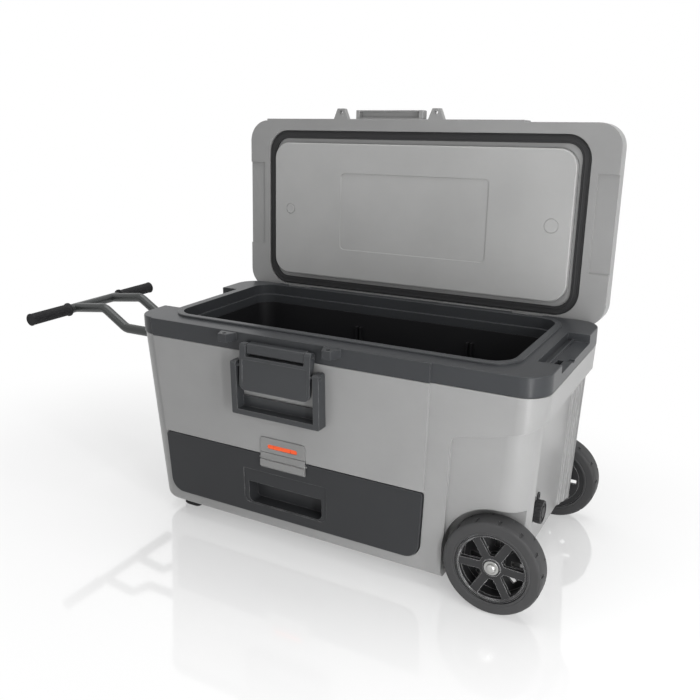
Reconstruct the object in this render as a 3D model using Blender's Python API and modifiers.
"""Wheeled hard cooler with a front drawer, a hinged lid, a draw latch and a folding pull handle.

Run in Blender 4.5, from the text editor or with blender --background --python part.py.
Lengths are in metres, +Z is up, the front with the latch and the drawer faces -Y,
and the wheels are at the +X end. The lid stands open and the handle is pulled out.
"""

import math

import bmesh
import bpy
from mathutils import Matrix, Vector

# Clearances and overruns
SEAT_GAP = 0.0003
RUN_GAP = 0.0007
OVERRUN = 0.020
WELD_DISTANCE = 0.000005

# Facet counts
CORNER_STEPS = 4
ROUND_STEPS = 16
WHEEL_STEPS = 36
EDGE_STEPS = 3
ARCH_STEPS = 10

# Outer shell of the body
BODY_TOP = 0.3997
BODY_BOTTOM = 0.0265
BODY_LEFT = -0.4296
BODY_RIGHT = 0.4315
BODY_HALF_DEPTH = 0.1995
BODY_CORNER = 0.047
BODY_WALL = 0.0045
BODY_EDGE = 0.015
LEFT_TAPER_SHARE = 0.0795
RIGHT_TAPER_SHARE = 0.047
SIDE_TAPER_SHARE = 0.004

# Proud front panel, between its two seams
PANEL_PROUD = 0.0045
PANEL_LEFT = -0.3820
PANEL_RIGHT = 0.2356
PANEL_LEFT_SLOPE_SHARE = 0.083
PANEL_RIGHT_SLOPE_SHARE = 0.0273

# Front centre line, shared by latch, drawer and lock plate
FRONT_CENTRE = -0.0675

# Recessed wheel end of the body
END_PANEL_LEFT = 0.2700
END_PANEL_TOP = 0.3110
END_PANEL_RISE_START = 0.3280
END_PANEL_RISE = 0.0280
END_PANEL_CORNER = 0.018
END_PANEL_DEPTH = 0.0060
END_FACE_DEPTH = 0.0090
END_FACE_CORNER = 0.050
END_COLUMN_WIDTH = 0.0535
END_NICHE_HALF = BODY_HALF_DEPTH - END_COLUMN_WIDTH
END_NICHE_DEPTH = 0.018
END_NICHE_STEPS = 3
END_NICHE_STEP_WIDTH = 0.012
END_NICHE_TOP = 0.345
END_TOE_HEIGHT = 0.0275
END_TOE_LENGTH = 0.060

# Wheels and axle
AXLE_X = 0.3644
AXLE_Z = 0.0890
TYRE_RADIUS = 0.0890
TYRE_SHOULDER_RADIUS = 0.0872
TYRE_BORE = 0.0656
TYRE_WIDTH = 0.0420
TYRE_EDGE = 0.0060
WHEEL_STAND_OUT = 0.0200
WHEEL_OUTER_Y = BODY_HALF_DEPTH + WHEEL_STAND_OUT
RIM_RADIUS = 0.0653
RIM_WALL = 0.0055
RIM_INSET = 0.0025
HUB_RADIUS = 0.0165
HUB_BORE = 0.0083
HUB_INSET = 0.0060
SPOKE_COUNT = 6
SPOKE_WIDTH = 0.0150
SPOKE_DEPTH = 0.0080
SPOKE_INSET = 0.0045
SPOKE_FILLET = 0.0060
BACK_DISC = 0.0040
BACK_SLOT_COUNT = 8
BACK_SLOT_WIDTH = 0.0090
BACK_SLOT_LENGTH = 0.0230
BACK_SLOT_START = 0.0260
TREAD_COUNT = 14
TREAD_GROOVE = 0.0055
TREAD_DEPTH = 0.0022
AXLE_RADIUS = 0.0060
WASHER_RADIUS = 0.0130
WASHER_THICKNESS = 0.0016
CAP_RADIUS = 0.0085
CAP_HEIGHT = 0.0060
ARCH_RADIUS = 0.0990
ARCH_DEPTH = 0.0330
TUNNEL_HALF = 0.0110
CLAMP_LENGTH = 0.0240
CLAMP_THICKNESS = 0.0030

# Collar round the mouth
COLLAR_BOTTOM = 0.4000
COLLAR_TOP = 0.4360
COLLAR_END = 0.4320
COLLAR_REACH = 0.0005
COLLAR_HALF_DEPTH = BODY_HALF_DEPTH + COLLAR_REACH
COLLAR_FRONT_WIDTH = 0.0450
COLLAR_BACK_WIDTH = 0.0390
MOUTH_LEFT = -0.3600
MOUTH_RIGHT = 0.3570
MOUTH_FRONT = COLLAR_FRONT_WIDTH - COLLAR_HALF_DEPTH
MOUTH_BACK = COLLAR_HALF_DEPTH - COLLAR_BACK_WIDTH
MOUTH_CORNER = 0.0420
LIP_WIDTH = 0.0130
LIP_HEIGHT = 0.0045
LEDGE_WIDTH = 0.0060
LEDGE_DEPTH = 0.0180
GRIP_INNER = 0.3900
GRIP_FRONT = -0.1080
GRIP_BACK = 0.0950
GRIP_DEPTH = 0.0160
GRIP_RIB_INSET = 0.0100
GRIP_RIB_WIDTH = 0.0025
GRIP_RIB_HEIGHT = 0.0050
GRIP_NOTCH_DEPTH = 0.0035
GRIP_NOTCH_LENGTH = 0.0170
STRAP_FRONT = -0.0880
STRAP_BACK = -0.0340
STRAP_INSET = 0.0160
STRAP_WIDTH = 0.0110
STRAP_DEPTH = 0.0120

# Padlock lugs on the collar and matching ears on the lid
LUG_PLACES = (-0.1847, 0.0459)
LUG_REACH = 0.0225
LUG_ROOT = 0.0400
LUG_TIP = 0.0180
LUG_HOLE_RADIUS = 0.0042
LUG_HOLE_SETBACK = 0.0085
LUG_HEIGHT = 0.0165
LUG_DROP = 0.0013
EAR_HEIGHT = 0.0130

# Lid, measured closed
LID_GAP = 0.0020
LID_THICKNESS = 0.0520
LID_SKIN = 0.0040
LID_UNDERSIDE = 0.0110
LID_TOP_EDGE = 0.0090
LID_CROWN_INSET = 0.0300
LID_CROWN_HEIGHT = 0.0030
LID_OPEN_DEGREES = 93.0
HINGE_SETBACK = 0.0030
HINGE_Y = COLLAR_HALF_DEPTH - HINGE_SETBACK
HINGE_Z = 0.4215
GASKET_HALF_LENGTH = 0.3770
GASKET_REACH = 0.0230
GASKET_BACK_REACH = 0.0220
GASKET_FRONT = MOUTH_FRONT - GASKET_REACH
GASKET_BACK = MOUTH_BACK + GASKET_BACK_REACH
GASKET_WIDTH = 0.0180
GASKET_CORNER = 0.0500
GASKET_GROOVE = 0.0070
LINER_PLUG_DEPTH = 0.0090
LINER_PLUG_WALL = 0.0040
LINER_PLUG_GAP = 0.0006
LINER_PLUG_SIDE_GAP = 0.0045
LINER_PLUG_BACK_GAP = 0.0062
LINER_PLUG_EDGE = 0.0060
PLAQUE_HALF_LENGTH = 0.1760
PLAQUE_WIDTH = 0.1730
PLAQUE_CORNER = 0.0110
PLAQUE_DEPTH = 0.0018
LID_CENTRE_SETBACK = 0.1960
PLUG_PLACE = 0.3115
SMALL_PLUG_RADIUS = 0.0120
LARGE_PLUG_RADIUS = 0.0150
PLUG_HEIGHT = 0.0012
UNDERCUT_REACH = 0.0400
UNDERCUT_HALF = 0.0970
UNDERCUT_DEPTH = 0.0040
KEEPER_HALF = 0.0810
KEEPER_REACH = 0.0190
KEEPER_LOW = 0.0050
KEEPER_HIGH = 0.0270
KEEPER_POCKET = 0.0100
KEEPER_POCKET_WALL = 0.0030

# Lid hinges
HINGE_PLACES = (-0.2800, 0.2800)
HINGE_HALF = 0.0320
HINGE_KNUCKLE_HALF = 0.0195
HINGE_CHEEK_RADIUS = 0.0070
HINGE_KNUCKLE_RADIUS = 0.0068
HINGE_PIN_RADIUS = 0.0030
HINGE_PLATE = 0.0020
HINGE_POCKET_DEPTH = 0.0095
HINGE_POCKET_REACH = 0.0120

# Liner tub
LINER_WALL = 0.0030
LINER_FLANGE = 0.0080
LINER_FLOOR = 0.2150
LINER_CORNER = 0.0360
LINER_TAPER = 0.0060
SUMP_LEFT = 0.2520
SUMP_RIGHT = 0.3420
SUMP_SETBACK = 0.0515
SUMP_HALF_DEPTH = BODY_HALF_DEPTH - SUMP_SETBACK
SUMP_FLOOR = 0.1280
SUMP_CORNER = 0.0200
DIVIDER_PLACES = (-0.0920, 0.1740)
DIVIDER_SLOT = 0.0055
DIVIDER_RIB = 0.0045
DIVIDER_REACH = 0.0035
DIVIDER_FOOT = 0.0100
DIVIDER_HEAD = 0.0300

# Drawer
DRAWER_TOP = 0.1920
DRAWER_BOTTOM = 0.0563
DRAWER_HALF_TOP = 0.2960
DRAWER_HALF_BOTTOM = 0.2890
DRAWER_TOP_CORNER = 0.0080
DRAWER_BOTTOM_CORNER = 0.0300
DRAWER_REVEAL = 0.0015
DRAWER_FRONT_THICKNESS = 0.0140
HOUSING_WALL = 0.0030
HOUSING_SIDE = 0.0110
HOUSING_LOW = 0.0040
HOUSING_HIGH = 0.0040
HOUSING_SETBACK = 0.0355
HOUSING_BACK = BODY_HALF_DEPTH - HOUSING_SETBACK
HOUSING_FLANGE = 0.0026
TRAY_SIDE_GAP = 0.0068
TRAY_LOW_GAP = 0.0030
TRAY_HEIGHT = 0.0880
TRAY_WALL = 0.0025
TRAY_FLOOR = 0.0030
TRAY_BACK_GAP = 0.0080
TRAY_CORNER = 0.0060
RAIL_HEIGHT = 0.0240
RAIL_DEPTH = 0.0042
RAIL_LIP = 0.0025
RAIL_GROOVE = 0.0020
RAIL_CENTRE = 0.1100
RAIL_END_GAP = 0.0100
SLIDE_GAP = 0.0003

# Drawer pull
PULL_HALF = 0.0965
PULL_TOP = 0.1530
PULL_EDGE = 0.1250
PULL_BOTTOM = 0.0800
PULL_CORNER = 0.0140
PULL_SINK = 0.0015
PULL_LIP = 0.0060
PULL_DEPTH = 0.0300
PULL_WALL = 0.0025
PULL_SIDE = 0.0110

# Drawer catch: fixed lock plate above, paddle below
LOCK_HALF = 0.0510
LOCK_TOP = 0.2306
LOCK_SPLIT = 0.1988
LOCK_CORNER = 0.0040
LOCK_PROUD = 0.0022
PILL_HALF = 0.0345
PILL_Z = 0.2125
PILL_HEIGHT = 0.0058
PILL_BRIDGE = 0.0016
PILL_BRIDGE_SHARE = 0.56
PADDLE_BOTTOM = 0.1663
PADDLE_PIVOT_Z = 0.1865
PADDLE_PROUD = 0.0055
PADDLE_SINK = 0.0035
PADDLE_PIN_RADIUS = 0.0015
PADDLE_PIN_REACH = 0.0035
PADDLE_RELIEF = 0.0046
PADDLE_RIDGE_Z = 0.1850
PADDLE_RIDGE = 0.0016

# Draw latch
LATCH_PIVOT_Z = 0.4136
LATCH_PIVOT_REACH = 0.0105
LATCH_BAR_HALF = 0.0635
LATCH_BAR_LOW = 0.0122
LATCH_BAR_HIGH = 0.0084
LATCH_BAR_FRONT = 0.0072
LATCH_PIN_RADIUS = 0.0020
FLAP_HALF = 0.0785
FLAP_PRONG_RADIUS = 0.0088
FLAP_PRONG_GAP = 0.0015
FLAP_THICKNESS = 0.0075
FLAP_BOTTOM = 0.3310
FLAP_WEB_DROP = 0.0164
FLAP_CORNER = 0.0130
FLAP_TILT_DEGREES = 5.0
FLAP_BORDER = 0.0060
FLAP_BORDER_HEIGHT = 0.0012
FRAME_PIVOT_Z = 0.3780
FRAME_PIVOT_REACH = 0.0180
FRAME_HALF = 0.0985
FRAME_ARM = 0.0130
FRAME_BACK_GAP = 0.0008
FRAME_FRONT = 0.0068
FRAME_TOP = 0.0080
FRAME_BOTTOM = 0.2790
FRAME_LIP = 0.0110
FRAME_BACK_WALL = 0.0030
FRAME_BACK_HEIGHT = 0.0330
FRAME_PIN_RADIUS = 0.0025

# Pull handle
HANDLE_PIVOT_X = -0.4480
HANDLE_PIVOT_Z = 0.3502
HANDLE_ARM_Y = 0.0606
HANDLE_BEND_LOW_X = -0.6000
HANDLE_BEND_HIGH_X = -0.6660
HANDLE_BEND_HIGH_Z = 0.3916
HANDLE_BAR_X = -0.7640
HANDLE_BAR_Z = 0.3805
HANDLE_BEND_RADIUS = 0.0300
HANDLE_TUBE_RADIUS = 0.0110
HANDLE_BAR_HALF = 0.1900
GRIP_NOSE = 0.0050
GRIP_LENGTH = 0.1137
GRIP_END = HANDLE_BAR_HALF + GRIP_NOSE
GRIP_START = GRIP_END - GRIP_LENGTH
GRIP_RADIUS = 0.0135
GRIP_FLANGE_RADIUS = 0.0160
GRIP_FLANGE_WIDTH = 0.0060
GRIP_FLANGE_SLOPE_SHARE = 1.5
GRIP_NOSE_SHARE = 0.7
BRACKET_HALF_HEIGHT = 0.0260
BRACKET_HALF_WIDTH = 0.0240
BRACKET_PLATE = 0.0040
BRACKET_CHEEK = 0.0050
BRACKET_CHEEK_RADIUS = 0.0150
BRACKET_CHEEK_GAP = 0.0007
BRACKET_PIN_RADIUS = 0.0040
BRACKET_PIN_HEAD = 0.0015

# Feet
FOOT_X = -0.3450
FOOT_LENGTH = 0.0440
FOOT_SETBACK = 0.0645
FOOT_Y = BODY_HALF_DEPTH - FOOT_SETBACK
FOOT_WIDTH = 0.0600
FOOT_EDGE = 0.0040

# Drain
DRAIN_Y = -0.0870
DRAIN_Z = 0.1480
DRAIN_BORE = 0.0085
DRAIN_NECK = 0.0130
DRAIN_NECK_LENGTH = 0.0170
DRAIN_FLANGE = 0.0250
DRAIN_FLANGE_THICKNESS = 0.0030
DRAIN_CAP_RADIUS = 0.0215
DRAIN_CAP_END = 0.0035
DRAIN_CAP_RIBS = 10
DRAIN_CAP_RIB_DEPTH = 0.0020
DRAIN_CAP_LIP = 0.0012
DRAIN_RING_WALL = 0.0020
DRAIN_RING_HEIGHT = 0.0026
DRAIN_RING_CATCH = 0.0016
DRAIN_LOOP_RADIUS = 0.0075
DRAIN_LOOP_HOLE = 0.0040
DRAIN_LOOP_REACH = 0.0270
DRAIN_LOOP_DEGREES = 65.0

# Colours, roughness and metallic value of each material
LIGHT_GREY = ("light_grey_plastic", (0.262, 0.262, 0.262), 0.45, 0.0)
DARK_GREY = ("dark_grey_plastic", (0.052, 0.056, 0.060), 0.45, 0.0)
DRAWER_GREY = ("drawer_grey_plastic", (0.033, 0.036, 0.039), 0.45, 0.0)
LINER_BLACK = ("liner_plastic", (0.012, 0.012, 0.013), 0.50, 0.0)
TYRE_BLACK = ("tyre_rubber", (0.045, 0.045, 0.047), 0.60, 0.0)
WHEEL_BLACK = ("wheel_plastic", (0.022, 0.022, 0.023), 0.40, 0.0)
RUBBER_BLACK = ("soft_rubber", (0.028, 0.028, 0.029), 0.70, 0.0)
TUBE_GREY = ("painted_tube", (0.045, 0.050, 0.048), 0.35, 0.6)
STEEL = ("zinc_steel", (0.560, 0.560, 0.560), 0.35, 1.0)
ORANGE = ("orange_plastic", (0.870, 0.092, 0.007), 0.40, 0.0)


# Scene and collections

def clear_scene():
    """Remove every object that the open file holds."""
    for obj in list(bpy.data.objects):
        bpy.data.objects.remove(obj, do_unlink=True)


def new_collection(name):
    """Return a new collection linked to the scene."""
    collection = bpy.data.collections.new(name)
    bpy.context.scene.collection.children.link(collection)
    return collection


def new_material(spec):
    """Return a Principled material from a name, colour, roughness and metallic value."""
    name, color, roughness, metallic = spec
    material = bpy.data.materials.get(name)
    if material is None:
        material = bpy.data.materials.new(name)
        material.use_nodes = True
        shader = material.node_tree.nodes["Principled BSDF"]
        shader.inputs["Base Color"].default_value = (*color, 1.0)
        shader.inputs["Roughness"].default_value = roughness
        shader.inputs["Metallic"].default_value = metallic
        material.diffuse_color = (*color, 1.0)
    return material


clear_scene()
PARTS = new_collection("wheeled_cooler")
CUTTERS = new_collection("wheeled_cooler_cutters")


# Mesh helpers

def object_from_bmesh(name, mesh_data):
    """Turn a bmesh into an object in the cutters' collection, where it stays until it is finished."""
    bmesh.ops.recalc_face_normals(mesh_data, faces=mesh_data.faces)
    mesh = bpy.data.meshes.new(name)
    mesh_data.to_mesh(mesh)
    mesh_data.free()
    obj = bpy.data.objects.new(name, mesh)
    CUTTERS.objects.link(obj)
    obj.hide_render = True
    obj.display_type = "WIRE"
    return obj


def finish(obj, name, spec, parent=None):
    """Name a piece, give it its material and parent, and move it to the parts' collection."""
    obj.name = name
    obj.data.name = name
    obj.hide_render = False
    obj.display_type = "TEXTURED"
    obj.data.materials.clear()
    obj.data.materials.append(new_material(spec))
    obj.data.shade_smooth()
    obj.data.set_sharp_from_angle(angle=math.radians(30.0))
    CUTTERS.objects.unlink(obj)
    PARTS.objects.link(obj)
    if parent is not None:
        attach(obj, parent)
        for modifier in obj.modifiers:
            if modifier.type == "BOOLEAN":
                attach_tree(modifier.object, parent)
    return obj


def attach(obj, parent):
    """Parent an object and keep it where it is."""
    bpy.context.view_layer.update()
    obj.parent = parent
    obj.matrix_parent_inverse = parent.matrix_world.inverted()


def attach_tree(cutter, parent):
    """Parent a cutter, and the cutters that shape it, to the piece's empty."""
    if cutter.parent is None:
        attach(cutter, parent)
        for modifier in cutter.modifiers:
            if modifier.type == "BOOLEAN":
                attach_tree(modifier.object, parent)


def joint_empty(name, place, parent=None):
    """Return an empty on a joint's axis."""
    empty = bpy.data.objects.new(name, None)
    empty.empty_display_size = SEAT_GAP
    empty.location = place
    PARTS.objects.link(empty)
    if parent is not None:
        attach(empty, parent)
    return empty


def shape(target, other, operation):
    """Add a Boolean modifier with the exact solver."""
    modifier = target.modifiers.new(other.name, "BOOLEAN")
    modifier.operation = operation
    modifier.solver = "EXACT"
    modifier.object = other
    return target


def cut(target, *cutters):
    """Cut each cutter out of the target."""
    for cutter in cutters:
        shape(target, cutter, "DIFFERENCE")
    return target


def join(target, *others):
    """Fuse each piece with the target."""
    for other in others:
        shape(target, other, "UNION")
    return target


def rounded(obj, width, segments=2, angle=40.0):
    """Round a piece's sharp edges."""
    modifier = obj.modifiers.new("edge", "BEVEL")
    modifier.width = width
    modifier.segments = segments
    modifier.limit_method = "ANGLE"
    modifier.angle_limit = math.radians(angle)
    return obj


def box(x_low, x_high, y_low, y_high, z_low, z_high):
    """Return a box between two corners."""
    mesh_data = bmesh.new()
    bmesh.ops.create_cube(mesh_data, size=1.0)
    size = Vector((x_high - x_low, y_high - y_low, z_high - z_low))
    middle = Vector((x_high + x_low, y_high + y_low, z_high + z_low)) / 2
    bmesh.ops.transform(mesh_data, matrix=Matrix.Translation(middle) @ Matrix.Diagonal((*size, 1.0)),
                        verts=mesh_data.verts)
    return object_from_bmesh("box", mesh_data)


TURNS = {
    "X": Matrix.Rotation(math.radians(90.0), 4, "Y"),
    "Y": Matrix.Rotation(math.radians(-90.0), 4, "X"),
    "Z": Matrix.Identity(4),
}


def rod(axis, centre, radius, low, high, steps=ROUND_STEPS):
    """Return a cylinder along an axis through a centre, from low to high on that axis."""
    mesh_data = bmesh.new()
    bmesh.ops.create_cone(mesh_data, cap_ends=True, segments=steps, radius1=radius, radius2=radius,
                          depth=high - low)
    place = Vector(centre)
    place["XYZ".index(axis)] = (low + high) / 2
    bmesh.ops.transform(mesh_data, matrix=Matrix.Translation(place) @ TURNS[axis],
                        verts=mesh_data.verts)
    return object_from_bmesh("rod", mesh_data)


def turned(axis, centre, profile, steps=ROUND_STEPS):
    """Return a turned piece: a closed profile of radius and height, outer side top to bottom."""
    mesh_data = bmesh.new()
    points = [mesh_data.verts.new((radius, 0.0, height)) for radius, height in profile]
    for first, second in zip(points, points[1:] + points[:1]):
        if first.co.x > 0.0 or second.co.x > 0.0:
            mesh_data.edges.new((first, second))
    obj = object_from_bmesh("turned", mesh_data)
    modifier = obj.modifiers.new("turn", "SCREW")
    modifier.steps = steps
    modifier.render_steps = steps
    modifier.use_merge_vertices = True
    modifier.merge_threshold = WELD_DISTANCE * 2
    obj.matrix_world = Matrix.Translation(centre) @ TURNS[axis]
    return baked(obj)


def baked(obj):
    """Return a piece as a plain mesh in world places, welded, with its first object removed."""
    bpy.context.view_layer.update()
    graph = bpy.context.evaluated_depsgraph_get()
    mesh = bpy.data.meshes.new_from_object(obj.evaluated_get(graph))
    mesh.transform(obj.matrix_world)
    mesh_data = bmesh.new()
    mesh_data.from_mesh(mesh)
    bmesh.ops.remove_doubles(mesh_data, verts=mesh_data.verts, dist=WELD_DISTANCE)
    bpy.data.meshes.remove(mesh)
    name = obj.name
    bpy.data.objects.remove(obj, do_unlink=True)
    return object_from_bmesh(name, mesh_data)


# Curve planes: where the curve's own X, Y and Z point
PLANES = {
    "XY": Matrix(((1, 0, 0, 0), (0, 1, 0, 0), (0, 0, 1, 0), (0, 0, 0, 1))),
    "XZ": Matrix(((1, 0, 0, 0), (0, 0, -1, 0), (0, 1, 0, 0), (0, 0, 0, 1))),
    "YZ": Matrix(((0, 0, 1, 0), (1, 0, 0, 0), (0, 1, 0, 0), (0, 0, 0, 1))),
}


def plate(plane, low, high, *outlines):
    """Return flat outlines filled and extruded from low to high across their plane."""
    curve = bpy.data.curves.new("plate", "CURVE")
    curve.dimensions = "2D"
    curve.fill_mode = "BOTH"
    curve.extrude = (high - low) / 2
    for outline in outlines:
        spline = curve.splines.new("POLY")
        spline.points.add(len(outline) - 1)
        for point, (across, up) in zip(spline.points, outline):
            point.co = (across, up, 0.0, 1.0)
        spline.use_cyclic_u = True
    obj = bpy.data.objects.new("plate", curve)
    CUTTERS.objects.link(obj)
    middle = (low + high) / 2
    if plane == "XZ":
        middle = -middle
    obj.matrix_world = PLANES[plane] @ Matrix.Translation((0.0, 0.0, middle))
    return baked(obj)


def tube(points, radius, resolution=3):
    """Return a round tube along a line of points, with filled ends."""
    curve = bpy.data.curves.new("tube", "CURVE")
    curve.dimensions = "3D"
    curve.bevel_depth = radius
    curve.bevel_resolution = resolution
    curve.use_fill_caps = True
    spline = curve.splines.new("POLY")
    spline.points.add(len(points) - 1)
    for point, place in zip(spline.points, points):
        point.co = (*place, 1.0)
    obj = bpy.data.objects.new("tube", curve)
    CUTTERS.objects.link(obj)
    return baked(obj)


def loft(sections):
    """Return a solid through outlines of equal length, with a flat cap at each end."""
    mesh_data = bmesh.new()
    rings = [[mesh_data.verts.new(point) for point in section] for section in sections]
    for lower, upper in zip(rings, rings[1:]):
        count = len(lower)
        for index in range(count):
            following = (index + 1) % count
            mesh_data.faces.new((lower[index], lower[following], upper[following], upper[index]))
    mesh_data.faces.new(rings[0])
    mesh_data.faces.new(rings[-1])
    return object_from_bmesh("loft", mesh_data)


# Outlines

def rounded_rectangle(left, right, low, high, radii, steps=CORNER_STEPS):
    """Return a rectangle with rounded corners, its radii from high right round to low right."""
    if not isinstance(radii, tuple):
        radii = (radii,) * 4
    corners = (
        (right - radii[0], high - radii[0], radii[0], 0.0),
        (left + radii[1], high - radii[1], radii[1], 90.0),
        (left + radii[2], low + radii[2], radii[2], 180.0),
        (right - radii[3], low + radii[3], radii[3], 270.0),
    )
    points = []
    for across, up, radius, start in corners:
        for step in range(steps + 1):
            angle = math.radians(start + 90.0 * step / steps)
            points.append((across + radius * math.cos(angle), up + radius * math.sin(angle)))
    return points


def rounded_polygon(corners, steps=CORNER_STEPS):
    """Return a polygon whose corners, given as across, up and radius, are rounded by arcs."""
    points = []
    count = len(corners)
    for index, (across, up, radius) in enumerate(corners):
        corner = Vector((across, up))
        before = Vector(corners[index - 1][:2]) - corner
        after = Vector(corners[(index + 1) % count][:2]) - corner
        before.normalize()
        after.normalize()
        half = before.angle(after) / 2
        if radius == 0.0:
            points.append(tuple(corner))
            continue
        middle = corner + (before + after).normalized() * radius / math.sin(half)
        start = corner + before * radius / math.tan(half) - middle
        end = corner + after * radius / math.tan(half) - middle
        sweep = start.angle_signed(end)
        for step in range(steps + 1):
            turn = Matrix.Rotation(-sweep * step / steps, 2)
            points.append(tuple(middle + turn @ start))
    return points


def arc(centre, radius, start, end, steps):
    """Return points on an arc, with angles in degrees."""
    points = []
    for step in range(steps + 1):
        angle = math.radians(start + (end - start) * step / steps)
        points.append((centre[0] + radius * math.cos(angle), centre[1] + radius * math.sin(angle)))
    return points


def at_height(outline, height):
    """Lift a flat outline to a height."""
    return [(across, along, height) for across, along in outline]


# Places that several pieces share

def body_left(height):
    """Left end of the shell at a height."""
    return BODY_LEFT + LEFT_TAPER_SHARE * (BODY_TOP - height)


def body_right(height):
    """Wheel end of the shell at a height."""
    return BODY_RIGHT - RIGHT_TAPER_SHARE * (BODY_TOP - height)


def body_side(height):
    """Half depth of the shell at a height."""
    return BODY_HALF_DEPTH - SIDE_TAPER_SHARE * (BODY_TOP - height)


def seam_left(height):
    """Left seam of the proud front panel at a height."""
    return PANEL_LEFT + PANEL_LEFT_SLOPE_SHARE * (BODY_TOP - height)


def seam_right(height):
    """Right seam of the proud front panel at a height."""
    return PANEL_RIGHT - PANEL_RIGHT_SLOPE_SHARE * (BODY_TOP - height)


FRONT_FACE = -(BODY_HALF_DEPTH + PANEL_PROUD)
LID_BOTTOM = COLLAR_TOP + LID_GAP
LID_TOP = LID_BOTTOM + LID_THICKNESS
DRAIN_SEAT_X = body_right(DRAIN_Z + DRAIN_FLANGE) - END_FACE_DEPTH - END_NICHE_DEPTH + SEAT_GAP
DRAWER_FACE_BACK = FRONT_FACE + DRAWER_FRONT_THICKNESS


def drawer_outline(grow):
    """Outline of the drawer front, grown all round, with a slightly narrower foot."""
    top = DRAWER_HALF_TOP + grow
    bottom = DRAWER_HALF_BOTTOM + grow
    return rounded_polygon([
        (FRONT_CENTRE + top, DRAWER_TOP + grow, DRAWER_TOP_CORNER + grow),
        (FRONT_CENTRE - top, DRAWER_TOP + grow, DRAWER_TOP_CORNER + grow),
        (FRONT_CENTRE - bottom, DRAWER_BOTTOM - grow, DRAWER_BOTTOM_CORNER + grow),
        (FRONT_CENTRE + bottom, DRAWER_BOTTOM - grow, DRAWER_BOTTOM_CORNER + grow),
    ])


# Body shell

def body_loft(inset, low, high, corner, edge, right_inset=None, side_inset=None, right_corner=None):
    """Return the tapered outer form, moved inwards, with a rounded bottom edge."""
    right_corner = corner if right_corner is None else right_corner
    right_inset = inset if right_inset is None else right_inset
    side_inset = inset if side_inset is None else side_inset
    heights = []
    if edge > 0.0:
        for step in range(EDGE_STEPS):
            angle = math.radians(90.0 * step / EDGE_STEPS)
            heights.append((low + edge * (1.0 - math.cos(angle)), edge * (1.0 - math.sin(angle))))
        heights.append((low + edge, 0.0))
    else:
        heights.append((low, 0.0))
    heights.append((high, 0.0))
    sections = []
    for height, shrink in heights:
        side = body_side(height) - side_inset - shrink
        outline = rounded_rectangle(body_left(height) + inset + shrink,
                                    body_right(height) - right_inset - shrink,
                                    -side, side, (
                                        max(right_corner - shrink, BODY_WALL / 2),
                                        max(corner - shrink, BODY_WALL / 2),
                                        max(corner - shrink, BODY_WALL / 2),
                                        max(right_corner - shrink, BODY_WALL / 2)))
        sections.append(at_height(outline, height))
    return loft(sections)


def arch_outline(grow):
    """Side outline of the space for a wheel, open below and at the end."""
    radius = ARCH_RADIUS + grow
    end = COLLAR_END + OVERRUN
    floor = -OVERRUN
    points = [(end, floor), (end, AXLE_Z + radius)]
    points += arc((AXLE_X, AXLE_Z), radius, 90.0, 180.0, ARCH_STEPS)
    points.append((AXLE_X - radius, floor))
    return points


def wheel_spaces(grow, depth_grow):
    """Return both wheel pockets as one cutter."""
    inner = BODY_HALF_DEPTH - ARCH_DEPTH - depth_grow
    outer = BODY_HALF_DEPTH + OVERRUN
    front = plate("XZ", -outer, -inner, arch_outline(grow))
    rear = plate("XZ", inner, outer, arch_outline(grow))
    return join(front, rear)


def end_panel_cutter():
    """Return what is taken off round the wheel end below the band."""
    end = COLLAR_END + OVERRUN
    outline = rounded_polygon([
        (END_PANEL_LEFT - END_PANEL_DEPTH, -OVERRUN, 0.0),
        (end, -OVERRUN, 0.0),
        (end, END_PANEL_TOP + END_PANEL_RISE * 2, 0.0),
        (BODY_RIGHT - BODY_CORNER / 2, END_PANEL_TOP + END_PANEL_RISE, 0.0),
        (END_PANEL_RISE_START, END_PANEL_TOP + END_PANEL_RISE / 4, 0.0),
        (END_PANEL_LEFT + END_PANEL_DEPTH, END_PANEL_TOP, END_PANEL_CORNER),
    ])
    outer = BODY_HALF_DEPTH + OVERRUN
    cutter = plate("XZ", -outer, outer, outline)
    core = body_loft(-OVERRUN, -OVERRUN, BODY_TOP + OVERRUN, END_FACE_CORNER, 0.0,
                     END_FACE_DEPTH, END_PANEL_DEPTH)
    return cut(cutter, core)


def niche_cutter():
    """Return the stepped niche between the corner columns of the wheel end."""
    end = COLLAR_END + OVERRUN
    sections = []
    for height in (-OVERRUN, END_NICHE_TOP):
        face = body_right(height) - END_FACE_DEPTH
        steps = [(end, END_NICHE_HALF)]
        for step in range(END_NICHE_STEPS):
            half = END_NICHE_HALF - END_NICHE_STEP_WIDTH * step
            before = face - END_NICHE_DEPTH * (step + 1) / END_NICHE_STEPS
            steps.append((before, half))
            if step + 1 < END_NICHE_STEPS:
                steps.append((before, half - END_NICHE_STEP_WIDTH))
        outline = steps + [(across, -along) for across, along in reversed(steps)]
        sections.append(at_height(outline, height))
    return loft(sections)


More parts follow.
